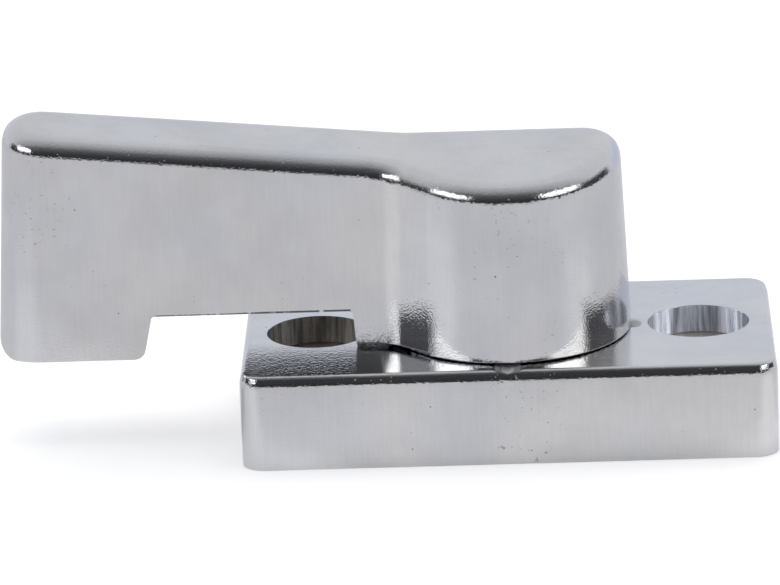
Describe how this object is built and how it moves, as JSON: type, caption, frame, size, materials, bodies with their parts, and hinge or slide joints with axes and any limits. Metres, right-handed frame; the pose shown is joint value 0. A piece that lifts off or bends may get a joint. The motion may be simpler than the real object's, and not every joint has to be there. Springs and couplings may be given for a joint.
{
  "type": "door turn button",
  "caption": "Spring-loaded turn button for a door: a cast hook lever that turns on a small screwed-down base block with click stops.",
  "frame": {"origin": "on the pivot axis, on the face of the base that is screwed down", "axes": "+Z away from that face along the pivot; +X along the base, away from the lever's arm; +Y towards the lever's flat back"},
  "size_m": [0.0729, 0.0266, 0.0308],
  "materials": {
    "base_plate": "chrome-plated casting, lightly grained",
    "turn_lever": "chrome-plated casting, lightly grained",
    "retaining_washer": "plain steel",
    "coil_spring": "drawn spring wire"
  },
  "bodies": {
    "base": {"base_plate": "base_plate", "coil_spring": "coil_spring"},
    "washer": {"retaining_washer": "retaining_washer"},
    "lever": {"turn_lever": "turn_lever"}
  },
  "joints": [
    {"name": "lift", "type": "slide", "parent": "base", "child": "washer", "axis": [0, 0, 1], "range_m": [0, 0.0012], "stiffness_N_per_m": 8000, "springref_m": -0.0025, "deforming": ["coil_spring"]},
    {"name": "turn", "type": "hinge", "parent": "washer", "child": "lever", "pos_m": [0, 0, 0], "axis": [0, 0, 1], "continuous": true}
  ]
}
